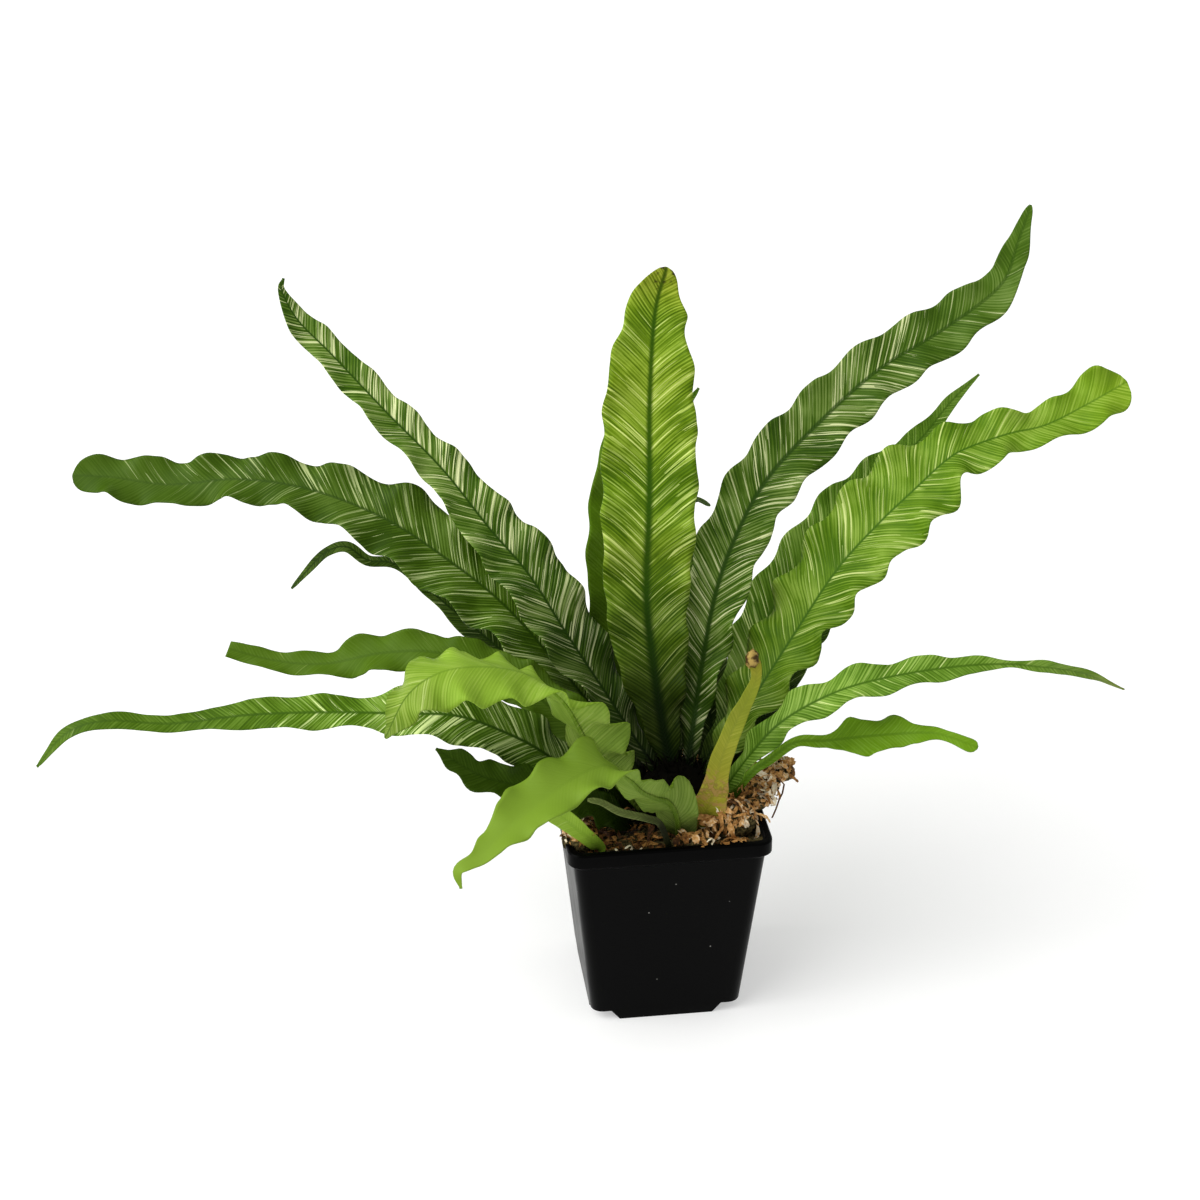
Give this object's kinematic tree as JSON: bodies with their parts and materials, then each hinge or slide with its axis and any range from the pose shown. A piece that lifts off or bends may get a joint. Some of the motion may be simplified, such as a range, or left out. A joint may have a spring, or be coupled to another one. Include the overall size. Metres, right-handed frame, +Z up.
{
  "type": "potted fern",
  "caption": "Birds nest fern with long striped wavy fronds rising from one crown in a small square black nursery pot filled with dried moss.",
  "frame": {"origin": "on the surface, under the centre of the pot's base", "axes": "+Z up, -Y towards the viewer, +X to the viewer's right; the pot is turned a few degrees anticlockwise about Z"},
  "size_m": [0.4818, 0.2981, 0.3401],
  "materials": {
    "pot_plastic": "moulded, semi-matte",
    "dried_moss": "dry, fibrous",
    "crown_scales": "rough, hairy",
    "leaf_deep": "satin leaf",
    "leaf_striped": "satin leaf with cream stripes",
    "leaf_lit": "satin leaf with cream stripes",
    "leaf_bright": "satin leaf with cream stripes",
    "leaf_mid": "satin leaf",
    "leaf_plain": "satin leaf",
    "leaf_lime": "satin leaf",
    "leaf_pale": "dull leaf",
    "leaf_old": "dull yellowing leaf"
  },
  "bodies": {
    "root": {"pot": "pot_plastic", "moss": "dried_moss", "crown": "crown_scales", "frond_left_high_arch": "leaf_deep", "frond_left_upper": "leaf_striped", "frond_centre_upright": "leaf_lit", "frond_right_upper": "leaf_striped", "frond_right_bright": "leaf_bright", "frond_right_behind": "leaf_mid", "frond_right_underside": "leaf_deep", "frond_right_level": "leaf_mid", "frond_right_short": "leaf_plain", "frond_left_cut": "leaf_plain", "frond_front_left_lime": "leaf_lime", "frond_left_low_long": "leaf_deep", "frond_left_low_shaded": "leaf_deep", "frond_left_curl": "leaf_deep", "frond_front_droop": "leaf_lime", "frond_front_stub": "leaf_lime", "frond_old_yellow": "leaf_old", "frond_base_pale": "leaf_pale", "frond_back_plain": "leaf_plain", "frond_back_tip": "leaf_mid", "frond_back_curl": "leaf_deep", "frond_back_low_left": "leaf_mid"}
  },
  "joints": []
}
